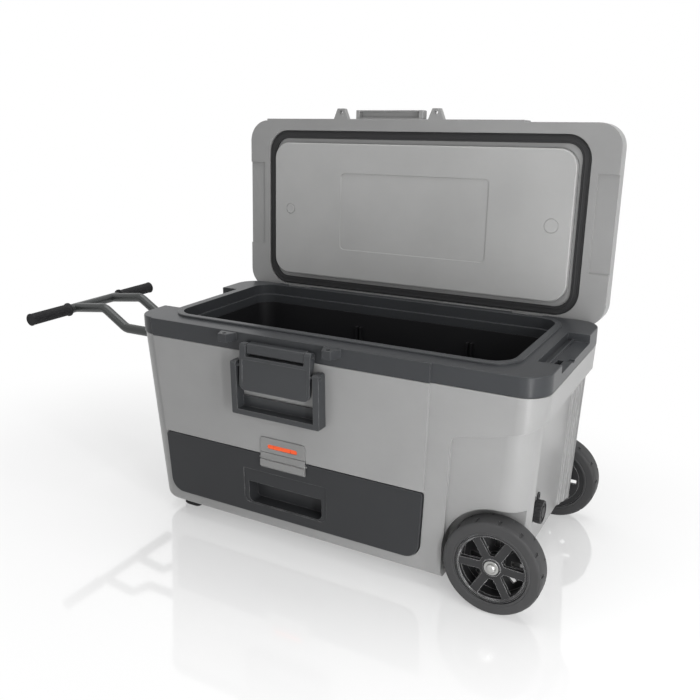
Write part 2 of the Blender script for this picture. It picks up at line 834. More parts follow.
def build_body_shell():
    """Double-walled outer shell with its proud panel, wheel pockets and drawer opening."""
    shell = body_loft(0.0, BODY_BOTTOM, BODY_TOP, BODY_CORNER, BODY_EDGE)
    panel = plate("XZ", FRONT_FACE, -BODY_HALF_DEPTH + BODY_WALL, [
        (seam_left(DRAWER_TOP), DRAWER_TOP + DRAWER_REVEAL),
        (seam_right(DRAWER_TOP), DRAWER_TOP + DRAWER_REVEAL),
        (seam_right(BODY_TOP), BODY_TOP),
        (seam_left(BODY_TOP), BODY_TOP),
    ])
    join(shell, panel)
    toe = plate("XZ", -BODY_HALF_DEPTH - OVERRUN, BODY_HALF_DEPTH + OVERRUN, [
        (body_right(BODY_BOTTOM) - END_TOE_LENGTH * 2, BODY_BOTTOM - SEAT_GAP),
        (body_right(BODY_BOTTOM) - END_TOE_LENGTH, BODY_BOTTOM + END_TOE_HEIGHT / 4),
        (body_right(BODY_BOTTOM) - END_TOE_LENGTH / 2, BODY_BOTTOM + END_TOE_HEIGHT),
        (body_right(BODY_BOTTOM) + OVERRUN, BODY_BOTTOM + END_TOE_HEIGHT * 2),
        (body_right(BODY_BOTTOM) + OVERRUN, BODY_BOTTOM - OVERRUN),
        (body_right(BODY_BOTTOM) - END_TOE_LENGTH * 2, BODY_BOTTOM - OVERRUN),
    ])
    tunnel = box(AXLE_X - TUNNEL_HALF, AXLE_X + TUNNEL_HALF, -BODY_HALF_DEPTH, BODY_HALF_DEPTH,
                 -OVERRUN, AXLE_Z + TUNNEL_HALF)
    cut(shell, end_panel_cutter(), niche_cutter(), toe, wheel_spaces(0.0, 0.0), tunnel)
    cut(shell, body_cavity())
    opening = plate("XZ", FRONT_FACE - OVERRUN, -BODY_HALF_DEPTH + OVERRUN,
                    drawer_outline(DRAWER_REVEAL))
    relief = box(FRONT_CENTRE - LOCK_HALF - DRAWER_REVEAL, FRONT_CENTRE + LOCK_HALF + DRAWER_REVEAL,
                 FRONT_FACE - OVERRUN, FRONT_FACE + PADDLE_RELIEF, DRAWER_TOP, LOCK_SPLIT + SEAT_GAP)
    drain = rod("X", (0.0, DRAIN_Y, DRAIN_Z), DRAIN_NECK + SEAT_GAP, SUMP_RIGHT, COLLAR_END + OVERRUN)
    cut(shell, opening, relief, drain)
    return finish(shell, "body_shell", LIGHT_GREY)


def body_cavity():
    """Return the hollow between the shell's walls, open at the top."""
    top = BODY_TOP + OVERRUN
    end_inset = END_FACE_DEPTH + END_NICHE_DEPTH + BODY_WALL
    inner_corner = BODY_CORNER - BODY_WALL
    left_part = body_loft(BODY_WALL, BODY_BOTTOM + BODY_WALL, top, inner_corner, BODY_EDGE,
                          BODY_RIGHT - END_PANEL_LEFT + BODY_WALL * 2, BODY_WALL, BODY_WALL)
    right_low = BODY_BOTTOM + END_TOE_HEIGHT + BODY_WALL * 2
    right_part = body_loft(END_PANEL_LEFT - BODY_LEFT - BODY_CORNER * 2, right_low, top,
                           BODY_WALL, 0.0, end_inset, END_PANEL_DEPTH + BODY_WALL,
                           END_FACE_CORNER - BODY_WALL * 4)
    cavity = join(left_part, right_part)
    tunnel = box(AXLE_X - TUNNEL_HALF - BODY_WALL, AXLE_X + TUNNEL_HALF + BODY_WALL,
                 -BODY_HALF_DEPTH, BODY_HALF_DEPTH, -OVERRUN, AXLE_Z + TUNNEL_HALF + BODY_WALL)
    return cut(cavity, wheel_spaces(BODY_WALL, BODY_WALL), tunnel)


# Collar round the mouth

def lug(low, high, centre):
    """Return a padlock lug on the front, with its corners cut back, and its hole."""
    face = FRONT_FACE + PANEL_PROUD
    tip = FRONT_FACE - LUG_REACH
    outline = [
        (centre - LUG_ROOT / 2, face), (centre - LUG_TIP / 2, tip),
        (centre + LUG_TIP / 2, tip), (centre + LUG_ROOT / 2, face),
    ]
    hole = rod("Z", (centre, tip + LUG_HOLE_SETBACK, 0.0), LUG_HOLE_RADIUS, low - OVERRUN,
               high + OVERRUN, ROUND_STEPS // 2)
    return plate("XY", low, high, outline), hole


def grip_recess(side):
    """Return the cutter of a hand grip in one end of the collar."""
    floor = COLLAR_TOP - GRIP_DEPTH
    inner = side * GRIP_INNER
    outer = side * (COLLAR_END + OVERRUN)
    recess = box(min(inner, outer), max(inner, outer), GRIP_FRONT, GRIP_BACK, floor,
                 COLLAR_TOP + OVERRUN)
    notch_inner = side * (COLLAR_END - GRIP_RIB_INSET)
    notch = box(min(notch_inner, outer), max(notch_inner, outer), STRAP_BACK,
                STRAP_BACK + GRIP_NOTCH_LENGTH, floor - GRIP_NOTCH_DEPTH, COLLAR_TOP)
    slot_a = side * (GRIP_INNER + STRAP_INSET)
    slot_b = slot_a + side * STRAP_WIDTH
    slot = box(min(slot_a, slot_b), max(slot_a, slot_b), STRAP_FRONT, STRAP_BACK,
               floor - STRAP_DEPTH, COLLAR_TOP)
    return join(recess, notch, slot)


def grip_rib(side):
    """Return the low rib that runs along the floor of a hand grip."""
    inner = side * (GRIP_INNER + GRIP_RIB_INSET)
    outer = inner + side * GRIP_RIB_WIDTH
    floor = COLLAR_TOP - GRIP_DEPTH
    return box(min(inner, outer), max(inner, outer), GRIP_FRONT - SEAT_GAP, GRIP_BACK + SEAT_GAP,
               floor - SEAT_GAP, floor + GRIP_RIB_HEIGHT)


def build_collar():
    """Collar ring with raised lip, ledge, hand grips, padlock lugs and hinge pockets."""
    outline = rounded_rectangle(-COLLAR_END, COLLAR_END, -COLLAR_HALF_DEPTH, COLLAR_HALF_DEPTH,
                                BODY_CORNER)
    collar = plate("XY", COLLAR_BOTTOM, COLLAR_TOP, outline)
    panel = plate("XZ", FRONT_FACE, -COLLAR_HALF_DEPTH + LIP_WIDTH, [
        (seam_left(COLLAR_BOTTOM), COLLAR_BOTTOM), (seam_right(COLLAR_BOTTOM), COLLAR_BOTTOM),
        (seam_right(COLLAR_TOP), COLLAR_TOP), (seam_left(COLLAR_TOP), COLLAR_TOP),
    ])
    lip = plate("XY", COLLAR_TOP - LIP_HEIGHT, COLLAR_TOP + LIP_HEIGHT, rounded_rectangle(
        MOUTH_LEFT - LIP_WIDTH, MOUTH_RIGHT + LIP_WIDTH, MOUTH_FRONT - LIP_WIDTH,
        MOUTH_BACK + LIP_WIDTH, MOUTH_CORNER + LIP_WIDTH))
    rounded(lip, LIP_HEIGHT / 2)
    join(collar, panel, lip)
    holes = []
    for centre in LUG_PLACES:
        body, hole = lug(COLLAR_TOP - LUG_DROP - LUG_HEIGHT, COLLAR_TOP - LUG_DROP, centre)
        join(collar, body)
        holes.append(hole)
    mouth = plate("XY", COLLAR_TOP - LEDGE_DEPTH, COLLAR_TOP + OVERRUN, rounded_rectangle(
        MOUTH_LEFT, MOUTH_RIGHT, MOUTH_FRONT, MOUTH_BACK, MOUTH_CORNER))
    throat = plate("XY", COLLAR_BOTTOM - OVERRUN, COLLAR_TOP + OVERRUN, rounded_rectangle(
        MOUTH_LEFT + LEDGE_WIDTH, MOUTH_RIGHT - LEDGE_WIDTH, MOUTH_FRONT + LEDGE_WIDTH,
        MOUTH_BACK - LEDGE_WIDTH, LINER_CORNER))
    cut(collar, mouth, throat, *holes)
    for side in (-1.0, 1.0):
        cut(collar, grip_recess(side))
        join(collar, grip_rib(side))
    for centre in HINGE_PLACES:
        cut(collar, box(centre - HINGE_HALF - RUN_GAP, centre + HINGE_HALF + RUN_GAP,
                        HINGE_Y - HINGE_POCKET_REACH, COLLAR_HALF_DEPTH + OVERRUN,
                        HINGE_Z - HINGE_POCKET_DEPTH, COLLAR_TOP + OVERRUN))
    return finish(collar, "top_collar", DARK_GREY)


# Liner tub

def liner_loft(grow, floor, top):
    """Return the tub's form, grown all round, narrower at its foot."""
    sections = []
    for height, shrink in ((floor, LINER_TAPER), (top, 0.0)):
        inset = LEDGE_WIDTH + shrink - grow
        sections.append(at_height(rounded_rectangle(
            MOUTH_LEFT + inset, MOUTH_RIGHT - inset, MOUTH_FRONT + inset, MOUTH_BACK - inset,
            LINER_CORNER + grow - shrink), height))
    return loft(sections)


def build_liner():
    """Liner tub with a flange under the collar, divider slots and a drain sump."""
    top = COLLAR_BOTTOM - SEAT_GAP
    liner = liner_loft(LINER_WALL, LINER_FLOOR - LINER_WALL, top)
    reach = LEDGE_WIDTH - LINER_FLANGE
    flange = plate("XY", top - LINER_WALL, top, rounded_rectangle(
        MOUTH_LEFT + reach, MOUTH_RIGHT - reach, MOUTH_FRONT + reach, MOUTH_BACK - reach,
        MOUTH_CORNER))
    sump = plate("XY", SUMP_FLOOR - LINER_WALL, LINER_FLOOR, rounded_rectangle(
        SUMP_LEFT - LINER_WALL, SUMP_RIGHT + LINER_WALL, -SUMP_HALF_DEPTH - LINER_WALL,
        SUMP_HALF_DEPTH + LINER_WALL, SUMP_CORNER + LINER_WALL))
    join(liner, flange, sump)
    sump_space = plate("XY", SUMP_FLOOR, LINER_FLOOR + LINER_WALL, rounded_rectangle(
        SUMP_LEFT, SUMP_RIGHT, -SUMP_HALF_DEPTH, SUMP_HALF_DEPTH, SUMP_CORNER))
    drain = rod("X", (0.0, DRAIN_Y, DRAIN_Z), DRAIN_BORE, SUMP_RIGHT - LINER_WALL,
                SUMP_RIGHT + OVERRUN, ROUND_STEPS // 2)
    cut(liner, liner_loft(0.0, LINER_FLOOR, top + OVERRUN), sump_space, drain)
    for place in DIVIDER_PLACES:
        for offset in (-1.0, 1.0):
            centre = place + offset * (DIVIDER_SLOT + DIVIDER_RIB) / 2
            for wall, turn in ((MOUTH_FRONT + LEDGE_WIDTH, 1.0), (MOUTH_BACK - LEDGE_WIDTH, -1.0)):
                near = wall - turn * LINER_WALL / 2
                far = wall + turn * (LINER_TAPER + DIVIDER_REACH)
                join(liner, box(centre - DIVIDER_RIB / 2, centre + DIVIDER_RIB / 2, min(near, far),
                                max(near, far), LINER_FLOOR + DIVIDER_FOOT, top - DIVIDER_HEAD))
    return finish(liner, "inner_liner", LINER_BLACK)


# Drawer housing, drawer and rails

HOUSING_LEFT = FRONT_CENTRE - DRAWER_HALF_BOTTOM + HOUSING_SIDE
HOUSING_RIGHT = FRONT_CENTRE + DRAWER_HALF_BOTTOM - HOUSING_SIDE
HOUSING_FLOOR = DRAWER_BOTTOM + HOUSING_LOW
HOUSING_CEILING = DRAWER_TOP - HOUSING_HIGH
WALL_BACK = -BODY_HALF_DEPTH + BODY_WALL + SEAT_GAP * 2 + SIDE_TAPER_SHARE * BODY_TOP


def build_housing():
    """Thin box behind the drawer opening, with a flange that seats on the shell's front wall."""
    rim = plate("XZ", WALL_BACK, DRAWER_FACE_BACK + HOUSING_WALL,
                drawer_outline(DRAWER_REVEAL + HOUSING_FLANGE))
    sleeve = box(HOUSING_LEFT - HOUSING_WALL, HOUSING_RIGHT + HOUSING_WALL,
                 DRAWER_FACE_BACK + HOUSING_WALL / 2,
                 HOUSING_BACK + HOUSING_WALL, HOUSING_FLOOR - HOUSING_WALL,
                 HOUSING_CEILING + HOUSING_WALL)
    join(rim, sleeve)
    seat = plate("XZ", FRONT_FACE - OVERRUN, DRAWER_FACE_BACK + SEAT_GAP,
                 drawer_outline(DRAWER_REVEAL))
    inside = box(HOUSING_LEFT, HOUSING_RIGHT, DRAWER_FACE_BACK, HOUSING_BACK, HOUSING_FLOOR,
                 HOUSING_CEILING)
    cut(rim, inside, seat)
    return finish(rim, "drawer_housing", LINER_BLACK)


def build_rail(side, name):
    """Channel on a side wall of the housing, in which the drawer's runner slides."""
    wall = (HOUSING_LEFT if side < 0 else HOUSING_RIGHT) - side * SEAT_GAP
    face = wall - side * RAIL_DEPTH
    front = DRAWER_FACE_BACK + RAIL_END_GAP
    back = HOUSING_BACK - RAIL_END_GAP
    low = RAIL_CENTRE - RAIL_HEIGHT / 2
    high = RAIL_CENTRE + RAIL_HEIGHT / 2
    rail = box(min(wall, face), max(wall, face), front, back, low, high)
    inner = wall - side * RAIL_GROOVE
    outer = face - side * OVERRUN
    groove = box(min(inner, outer), max(inner, outer), front - OVERRUN, back + OVERRUN,
                 low + RAIL_LIP, high - RAIL_LIP)
    return finish(cut(rail, groove), name, STEEL)


def build_runner(side, name, parent):
    """Runner on the drawer's side, inside the channel."""
    wall = HOUSING_LEFT if side < 0 else HOUSING_RIGHT
    inner = wall - side * TRAY_SIDE_GAP
    outer = wall - side * (RAIL_GROOVE + RUN_GAP)
    inner += side * SEAT_GAP
    half = RAIL_HEIGHT / 2 - RAIL_LIP - SLIDE_GAP
    runner = box(min(inner, outer), max(inner, outer), DRAWER_FACE_BACK + RAIL_END_GAP,
                 HOUSING_BACK - RAIL_END_GAP * 2, RAIL_CENTRE - half, RAIL_CENTRE + half)
    return finish(runner, name, STEEL, parent)


def pull_outline(side_inset, low, high, corner):
    """Outline of the finger pull, with round lower corners."""
    half = PULL_HALF - side_inset
    small = RUN_GAP
    return rounded_rectangle(FRONT_CENTRE - half, FRONT_CENTRE + half, low, high,
                             (small, small, corner, corner))


def build_drawer_front(parent):
    """Drawer front with its finger pull, an overhanging lip, and the seat of the paddle."""
    front = plate("XZ", FRONT_FACE, DRAWER_FACE_BACK - SEAT_GAP, drawer_outline(0.0))
    rounded(front, PULL_SINK / 2)
    pocket_box = plate("XZ", FRONT_FACE + DRAWER_FRONT_THICKNESS / 2,
                       FRONT_FACE + PULL_DEPTH + PULL_WALL,
                       pull_outline(PULL_SIDE - PULL_WALL, PULL_BOTTOM - PULL_WALL,
                                    PULL_TOP + PULL_WALL, PULL_CORNER))
    join(front, pocket_box)
    sunk = plate("XZ", FRONT_FACE - OVERRUN, FRONT_FACE + PULL_SINK,
                 pull_outline(0.0, PULL_BOTTOM - PULL_WALL, PULL_TOP, PULL_CORNER))
    mouth = plate("XZ", FRONT_FACE - OVERRUN, FRONT_FACE + PULL_DEPTH,
                  pull_outline(PULL_SIDE, PULL_BOTTOM, PULL_EDGE, PULL_CORNER - PULL_WALL))
    behind = box(FRONT_CENTRE - PULL_HALF + PULL_SIDE, FRONT_CENTRE + PULL_HALF - PULL_SIDE,
                 FRONT_FACE + PULL_SINK + PULL_LIP, FRONT_FACE + PULL_DEPTH,
                 PULL_EDGE - PULL_CORNER, PULL_TOP)
    seat_half = LOCK_HALF + RUN_GAP
    seat = box(FRONT_CENTRE - seat_half, FRONT_CENTRE + seat_half, FRONT_FACE - OVERRUN,
               FRONT_FACE + PADDLE_SINK + SEAT_GAP, PADDLE_BOTTOM - RUN_GAP, DRAWER_TOP + OVERRUN)
    pin_half = LOCK_HALF + RUN_GAP + PADDLE_PIN_REACH
    pins = rod("X", (0.0, FRONT_FACE, PADDLE_PIVOT_Z), PADDLE_PIN_RADIUS + SEAT_GAP,
               FRONT_CENTRE - pin_half, FRONT_CENTRE + pin_half, ROUND_STEPS // 2)
    pin_slot = box(FRONT_CENTRE - pin_half, FRONT_CENTRE + pin_half, FRONT_FACE - OVERRUN,
                   FRONT_FACE, PADDLE_PIVOT_Z - PADDLE_PIN_RADIUS - SEAT_GAP,
                   PADDLE_PIVOT_Z + PADDLE_PIN_RADIUS + SEAT_GAP)
    cut(front, sunk, mouth, behind, seat, pins, pin_slot)
    return finish(front, "drawer_front", DRAWER_GREY, parent)


def build_drawer_tray(parent):
    """Open tray behind the drawer front, cut out round the pocket of the finger pull."""
    left = HOUSING_LEFT + TRAY_SIDE_GAP
    right = HOUSING_RIGHT - TRAY_SIDE_GAP
    back = HOUSING_BACK - TRAY_BACK_GAP
    floor = HOUSING_FLOOR + TRAY_LOW_GAP
    top = floor + TRAY_HEIGHT
    tray = plate("XY", floor, top, rounded_rectangle(left, right, DRAWER_FACE_BACK, back,
                                                     (TRAY_CORNER, TRAY_CORNER, RUN_GAP, RUN_GAP)))
    hollow = plate("XY", floor + TRAY_FLOOR, top + OVERRUN, rounded_rectangle(
        left + TRAY_WALL, right - TRAY_WALL, DRAWER_FACE_BACK + TRAY_WALL, back - TRAY_WALL,
        TRAY_CORNER))
    notch_half = PULL_HALF - PULL_SIDE + PULL_WALL + RUN_GAP
    notch = box(FRONT_CENTRE - notch_half, FRONT_CENTRE + notch_half, DRAWER_FACE_BACK - OVERRUN,
                DRAWER_FACE_BACK + TRAY_WALL * 2, PULL_BOTTOM - PULL_WALL - RUN_GAP, top + OVERRUN)
    cut(tray, hollow, notch)
    return finish(tray, "drawer_tray", LINER_BLACK, parent)


def build_lock_plate():
    """Fixed plate above the drawer, with the slot of the coloured indicator."""
    lock = plate("XZ", FRONT_FACE - LOCK_PROUD, FRONT_FACE - SEAT_GAP, rounded_rectangle(
        FRONT_CENTRE - LOCK_HALF, FRONT_CENTRE + LOCK_HALF, LOCK_SPLIT + SEAT_GAP * 2, LOCK_TOP,
        (LOCK_CORNER, LOCK_CORNER, RUN_GAP, RUN_GAP)))
    slot = plate("XZ", FRONT_FACE - OVERRUN, FRONT_FACE - SEAT_GAP * 3, pill_outline(0.0))
    cut(lock, slot)
    return finish(lock, "drawer_lock_plate", LIGHT_GREY)


def pill_outline(grow):
    """Outline of the indicator with round ends."""
    half = PILL_HALF + grow
    height = PILL_HEIGHT / 2 + grow
    return rounded_rectangle(FRONT_CENTRE - half, FRONT_CENTRE + half, PILL_Z - height,
                             PILL_Z + height, height - SEAT_GAP / 2)


def build_indicator():
    """Coloured indicator in the lock plate, with two shallow bridges across it."""
    strip = plate("XZ", FRONT_FACE - LOCK_PROUD + SEAT_GAP, FRONT_FACE - SEAT_GAP * 4,
                  pill_outline(-SEAT_GAP))
    for side in (-1.0, 1.0):
        centre = FRONT_CENTRE + side * PILL_HALF * PILL_BRIDGE_SHARE
        cut(strip, box(centre - PILL_BRIDGE / 2, centre + PILL_BRIDGE / 2, FRONT_FACE - OVERRUN,
                       FRONT_FACE - LOCK_PROUD + SEAT_GAP * 3, PILL_Z - PILL_HEIGHT,
                       PILL_Z + PILL_HEIGHT))
    return finish(strip, "indicator_strip", ORANGE)


def build_paddle(parent):
    """Paddle that is lifted at its lower edge to free the drawer, with its two end pins."""
    low_back = FRONT_FACE + PADDLE_SINK
    face = FRONT_FACE - PADDLE_PROUD
    step = PADDLE_PIVOT_Z + PADDLE_PIN_RADIUS
    outline = [
        (low_back, PADDLE_BOTTOM), (low_back, step), (FRONT_FACE - SEAT_GAP, step + PADDLE_SINK),
        (FRONT_FACE - SEAT_GAP, LOCK_SPLIT - SEAT_GAP), (face + PADDLE_RIDGE * 2, LOCK_SPLIT - SEAT_GAP),
        (face + PADDLE_RIDGE, PADDLE_RIDGE_Z + PADDLE_RIDGE * 2),
        (face + PADDLE_RIDGE, PADDLE_RIDGE_Z + PADDLE_RIDGE), (face + PADDLE_RIDGE * 2, PADDLE_RIDGE_Z),
        (face, PADDLE_RIDGE_Z - PADDLE_RIDGE), (face, PADDLE_BOTTOM + PADDLE_RIDGE * 3),
        (face + PADDLE_RIDGE * 2, PADDLE_BOTTOM),
    ]
    paddle = plate("YZ", FRONT_CENTRE - LOCK_HALF, FRONT_CENTRE + LOCK_HALF, outline)
    pin_half = LOCK_HALF + PADDLE_PIN_REACH
    pins = rod("X", (0.0, FRONT_FACE, PADDLE_PIVOT_Z), PADDLE_PIN_RADIUS, FRONT_CENTRE - pin_half,
               FRONT_CENTRE + pin_half, ROUND_STEPS // 2)
    return finish(join(paddle, pins), "drawer_paddle", LIGHT_GREY, parent)


# Draw latch

LATCH_Y = FRONT_FACE - LATCH_PIVOT_REACH
FRAME_Y = FRONT_FACE - FRAME_PIVOT_REACH


def build_latch_base():
    """Bar fixed to the collar that carries the latch's upper pin."""
    base = plate("YZ", FRONT_CENTRE - LATCH_BAR_HALF, FRONT_CENTRE + LATCH_BAR_HALF, rounded_polygon([
        (FRONT_FACE - SEAT_GAP, LATCH_PIVOT_Z + LATCH_BAR_HIGH, 0.0),
        (LATCH_Y - LATCH_BAR_FRONT, LATCH_PIVOT_Z + LATCH_BAR_HIGH, LATCH_BAR_FRONT / 2),
        (LATCH_Y - LATCH_BAR_FRONT, LATCH_PIVOT_Z - LATCH_BAR_LOW, LATCH_BAR_FRONT / 2),
        (FRONT_FACE - SEAT_GAP, LATCH_PIVOT_Z - LATCH_BAR_LOW, 0.0),
    ], 3))
    bore = rod("X", (0.0, LATCH_Y, LATCH_PIVOT_Z), LATCH_PIN_RADIUS + SEAT_GAP,
               FRONT_CENTRE - FLAP_HALF - OVERRUN, FRONT_CENTRE + FLAP_HALF + OVERRUN, ROUND_STEPS // 2)
    return finish(cut(base, bore), "latch_base", DARK_GREY)


def build_latch_pin():
    """Pin through the latch bar and the two prongs of the flap."""
    end = FLAP_HALF - RUN_GAP
    pin = rod("X", (0.0, LATCH_Y, LATCH_PIVOT_Z), LATCH_PIN_RADIUS, FRONT_CENTRE - end,
              FRONT_CENTRE + end, ROUND_STEPS // 2)
    return finish(pin, "latch_pivot_pin", STEEL)


def build_flap(parent):
    """Latch flap with two prongs on the upper pin and a raised border at its foot."""
    tilt = math.tan(math.radians(FLAP_TILT_DEGREES))
    front = LATCH_Y - FLAP_PRONG_RADIUS
    drop = LATCH_PIVOT_Z - FLAP_BOTTOM
    lean = drop * tilt
    web_top = LATCH_PIVOT_Z - FLAP_WEB_DROP
    back = front + FLAP_THICKNESS
    flap = plate("XZ", front - lean - OVERRUN, LATCH_Y + FLAP_PRONG_RADIUS, rounded_rectangle(
        FRONT_CENTRE - FLAP_HALF, FRONT_CENTRE + FLAP_HALF, FLAP_BOTTOM,
        LATCH_PIVOT_Z + FLAP_PRONG_RADIUS,
        (FLAP_THICKNESS / 2, FLAP_THICKNESS / 2, FLAP_CORNER, FLAP_CORNER)))
    profile = arc((LATCH_Y, LATCH_PIVOT_Z), FLAP_PRONG_RADIUS, -10.0, 180.0, 10)
    profile += [
        (front - lean, FLAP_BOTTOM - OVERRUN), (back - lean, FLAP_BOTTOM - OVERRUN),
        (back - lean / 2, web_top - drop / 3), (LATCH_Y + FLAP_PRONG_RADIUS / 2, web_top),
    ]
    keep = plate("YZ", FRONT_CENTRE - FLAP_HALF - OVERRUN, FRONT_CENTRE + FLAP_HALF + OVERRUN, profile)
    shape(flap, keep, "INTERSECT")
    gap_half = LATCH_BAR_HALF + FLAP_PRONG_GAP
    gap = box(FRONT_CENTRE - gap_half, FRONT_CENTRE + gap_half, front - OVERRUN,
              FRONT_FACE, web_top, LATCH_PIVOT_Z + OVERRUN)
    bore = rod("X", (0.0, LATCH_Y, LATCH_PIVOT_Z), LATCH_PIN_RADIUS + SEAT_GAP,
               FRONT_CENTRE - FLAP_HALF - OVERRUN, FRONT_CENTRE + FLAP_HALF + OVERRUN, ROUND_STEPS // 2)
    reach = FRAME_HALF - RUN_GAP * 2
    pins = rod("X", (0.0, FRAME_Y, FRAME_PIVOT_Z), FRAME_PIN_RADIUS, FRONT_CENTRE - reach,
               FRONT_CENTRE + reach, ROUND_STEPS // 2)
    sunk = plate("XZ", front - lean - OVERRUN, LATCH_Y, rounded_rectangle(
        FRONT_CENTRE - FLAP_HALF + FLAP_BORDER, FRONT_CENTRE + FLAP_HALF - FLAP_BORDER,
        FLAP_BOTTOM + FLAP_BORDER, web_top - FLAP_BORDER,
        (FLAP_BORDER_HEIGHT, FLAP_BORDER_HEIGHT, FLAP_CORNER - FLAP_BORDER, FLAP_CORNER - FLAP_BORDER)))
    skin = plate("YZ", FRONT_CENTRE - FLAP_HALF, FRONT_CENTRE + FLAP_HALF, [
        (front - lean - OVERRUN, FLAP_BOTTOM), (front - lean + FLAP_BORDER_HEIGHT, FLAP_BOTTOM),
        (front, web_top - FLAP_BORDER), (front - OVERRUN, web_top - FLAP_BORDER)])
    shape(sunk, skin, "INTERSECT")
    cut(flap, gap, bore, sunk)
    join(flap, pins)
    return finish(flap, "latch_flap", DARK_GREY, parent)


def build_frame(parent):
    """Pull frame on the flap's pins, with an angle bar at its foot that hooks the keeper."""
    back = FRONT_FACE - FRAME_BACK_GAP
    front = FRAME_Y - FRAME_FRONT
    top = FRAME_PIVOT_Z + FRAME_TOP
    outer = plate("XZ", front, back, rounded_rectangle(
        FRONT_CENTRE - FRAME_HALF, FRONT_CENTRE + FRAME_HALF, FRAME_BOTTOM, top,
        (FRAME_PIN_RADIUS, FRAME_PIN_RADIUS, FRAME_PIN_RADIUS, FRAME_PIN_RADIUS)))
    reach = back - FRAME_Y - SEAT_GAP
    low = FRAME_BOTTOM - OVERRUN
    round_top = arc((FRAME_Y, FRAME_PIVOT_Z), reach, 0.0,
                    math.degrees(math.asin(FRAME_TOP / reach)), 4)
    keep = plate("YZ", FRONT_CENTRE - FRAME_HALF - OVERRUN, FRONT_CENTRE + FRAME_HALF + OVERRUN, [
        (FRAME_Y + reach, low), *round_top,
        (front + FRAME_PIN_RADIUS, top), (front, top - FRAME_PIN_RADIUS), (front, low)])
    shape(outer, keep, "INTERSECT")
    inner = FRAME_HALF - FRAME_ARM
    window = box(FRONT_CENTRE - inner, FRONT_CENTRE + inner, front - OVERRUN, back + OVERRUN,
                 FRAME_BOTTOM + FRAME_BACK_HEIGHT, top + OVERRUN)
    channel = box(FRONT_CENTRE - inner, FRONT_CENTRE + inner, front - OVERRUN,
                  back - FRAME_BACK_WALL, FRAME_BOTTOM + FRAME_LIP, top + OVERRUN)
    bore = rod("X", (0.0, FRAME_Y, FRAME_PIVOT_Z), FRAME_PIN_RADIUS + SEAT_GAP,
               FRONT_CENTRE - FRAME_HALF - OVERRUN, FRONT_CENTRE + FRAME_HALF + OVERRUN,
               ROUND_STEPS // 2)
    cut(outer, window, channel, bore)
    return finish(outer, "latch_frame", DARK_GREY, parent)


# Lid, built closed round the hinge's axis

def lid_outline(inset, corner):
    """Outline of the lid, moved inwards."""
    return rounded_rectangle(-COLLAR_END + inset, COLLAR_END - inset, -COLLAR_HALF_DEPTH + inset,
                             COLLAR_HALF_DEPTH - inset, corner)


def build_lid_shell(parent):
    """Hollow lid with its proud front, ears, keeper and hand undercuts."""
    edge_top = LID_TOP - LID_CROWN_HEIGHT
    sections = [at_height(lid_outline(0.0, BODY_CORNER), LID_BOTTOM)]
    for step in range(EDGE_STEPS + 1):
        angle = math.radians(90.0 * step / EDGE_STEPS)
        inset = LID_TOP_EDGE * (1.0 - math.cos(angle))
        height = edge_top - LID_TOP_EDGE * (1.0 - math.sin(angle))
        sections.append(at_height(lid_outline(inset, BODY_CORNER - inset), height))
    crown = LID_CROWN_INSET
    sections.append(at_height(lid_outline(crown, BODY_CORNER - LID_TOP_EDGE), edge_top))
    sections.append(at_height(lid_outline(crown + LID_CROWN_HEIGHT, BODY_CORNER - LID_TOP_EDGE), LID_TOP))
    shell = loft(sections)
    panel = plate("XZ", FRONT_FACE, -COLLAR_HALF_DEPTH + LIP_WIDTH, [
        (seam_left(LID_BOTTOM), LID_BOTTOM), (seam_right(LID_BOTTOM), LID_BOTTOM),
        (seam_right(edge_top), edge_top - LID_TOP_EDGE / 2),
        (seam_left(edge_top), edge_top - LID_TOP_EDGE / 2),
    ])
    join(shell, panel)
    holes = []
    for centre in LUG_PLACES:
        body, hole = lug(LID_BOTTOM, LID_BOTTOM + EAR_HEIGHT, centre)
        join(shell, body)
        holes.append(hole)
    keeper_front = FRONT_FACE - KEEPER_REACH
    keeper = box(FRONT_CENTRE - KEEPER_HALF, FRONT_CENTRE + KEEPER_HALF, keeper_front,
                 FRONT_FACE + LID_SKIN, LID_BOTTOM + KEEPER_LOW, LID_BOTTOM + KEEPER_HIGH)
    rounded(keeper, KEEPER_POCKET_WALL / 2)
    join(shell, keeper)
    pocket = box(FRONT_CENTRE - KEEPER_HALF + KEEPER_POCKET_WALL * 3,
                 FRONT_CENTRE + KEEPER_HALF - KEEPER_POCKET_WALL * 3,
                 keeper_front + KEEPER_POCKET_WALL, FRONT_FACE - KEEPER_POCKET_WALL,
                 LID_BOTTOM - OVERRUN, LID_BOTTOM + KEEPER_LOW + KEEPER_POCKET)
    hollow = plate("XY", LID_BOTTOM + LID_UNDERSIDE, edge_top - LID_SKIN,
                   lid_outline(LID_SKIN + LID_TOP_EDGE / 2, BODY_CORNER - LID_SKIN))
    mouth = plate("XY", LID_BOTTOM - OVERRUN, LID_BOTTOM + LID_UNDERSIDE * 2, plug_outline(LINER_PLUG_GAP))
    groove = plate("XY", LID_BOTTOM - OVERRUN, LID_BOTTOM + GASKET_GROOVE, gasket_outline(0.0))
    cut(shell, hollow, mouth, groove, pocket, *holes)
    for side in (-1.0, 1.0):
        inner = side * (COLLAR_END - UNDERCUT_REACH)
        outer = side * (COLLAR_END + OVERRUN)
        middle = (GRIP_FRONT + GRIP_BACK) / 2
        cut(shell, box(min(inner, outer), max(inner, outer), middle - UNDERCUT_HALF,
                       middle + UNDERCUT_HALF, LID_BOTTOM - OVERRUN, LID_BOTTOM + UNDERCUT_DEPTH))
    return finish(shell, "lid_shell", LIGHT_GREY, parent)


def gasket_outline(inset):
    """Outline of the gasket's outer edge, moved inwards."""
    return rounded_rectangle(-GASKET_HALF_LENGTH + inset, GASKET_HALF_LENGTH - inset,
                             GASKET_FRONT + inset, GASKET_BACK - inset, GASKET_CORNER - inset)


